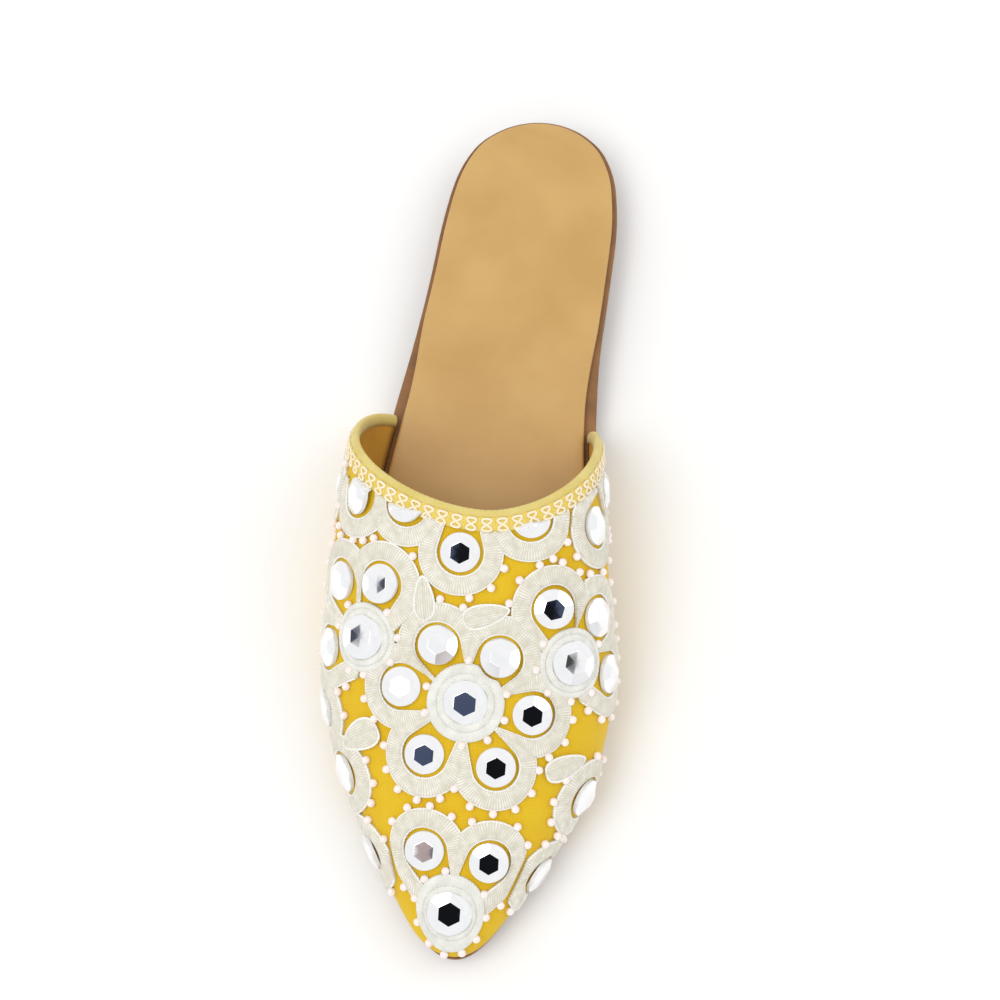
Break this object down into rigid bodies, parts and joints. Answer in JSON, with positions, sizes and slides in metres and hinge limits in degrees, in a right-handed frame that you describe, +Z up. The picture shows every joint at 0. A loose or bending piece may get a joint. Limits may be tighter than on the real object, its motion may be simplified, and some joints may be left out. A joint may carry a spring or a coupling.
{
  "type": "embroidered pointed-toe mule",
  "caption": "Flat backless slip-on mule with a pointed toe, yellow fabric vamp, raised cream embroidery with round cut stones, braid trim, tan insole and low heel; right foot.",
  "frame": {"origin": "centre of the bounding box in plan, on the floor under the sole", "axes": "+Z up, +Y from the toe to the heel, +X to the wearer's inner (medial) side of this right shoe"},
  "size_m": [0.0892, 0.2634, 0.0591],
  "materials": {
    "fabric": "yellow woven silk-look cloth, matt",
    "binding": "pale yellow rolled cloth edge, matt",
    "braid": "yellow woven braid with cream thread",
    "thread": "cream satin-stitch embroidery, soft sheen",
    "stone": "foil-backed cut glass, polished",
    "sock": "tan smooth leatherette, satin",
    "sole": "brown leather board, matt"
  },
  "bodies": {
    "root": {"outsole": "sole", "heel": "sole", "insole": "sock", "upper": "fabric", "binding": "binding", "braid": "braid", "stone_centre": "stone", "stone_centre_1": "stone", "stone_centre_2": "stone", "stone_centre_3": "stone", "stone_centre_4": "stone", "stone_centre_5": "stone", "stone_centre_6": "stone", "stone_toe": "stone", "stone_toe_1": "stone", "stone_toe_2": "stone", "stone_lateral": "stone", "stone_lateral_1": "stone", "stone_lateral_2": "stone", "stone_lateral_3": "stone", "stone_medial": "stone", "stone_medial_1": "stone", "stone_medial_2": "stone", "stone_medial_3": "stone", "stone_collar_front": "stone", "stone_collar_front_lateral": "stone", "stone_collar_front_medial": "stone", "stone_collar_side_lateral": "stone", "stone_collar_side_medial": "stone", "stone_wing_lateral": "stone", "stone_wing_medial": "stone", "stone_edge_back_lateral": "stone", "stone_edge_front_lateral": "stone", "stone_edge_front_medial": "stone", "stone_toe_side_lateral": "stone", "stone_toe_side_medial": "stone", "embroidery_vamp": "thread", "embroidery_toe": "thread", "embroidery_wing_lateral": "thread", "embroidery_wing_medial": "thread", "embroidery_edge_medial": "thread", "embroidery_toe_lateral": "thread", "embroidery_toe_medial": "thread", "embroidery_collar": "thread", "embroidery_leaf_medial": "thread"}
  },
  "joints": []
}
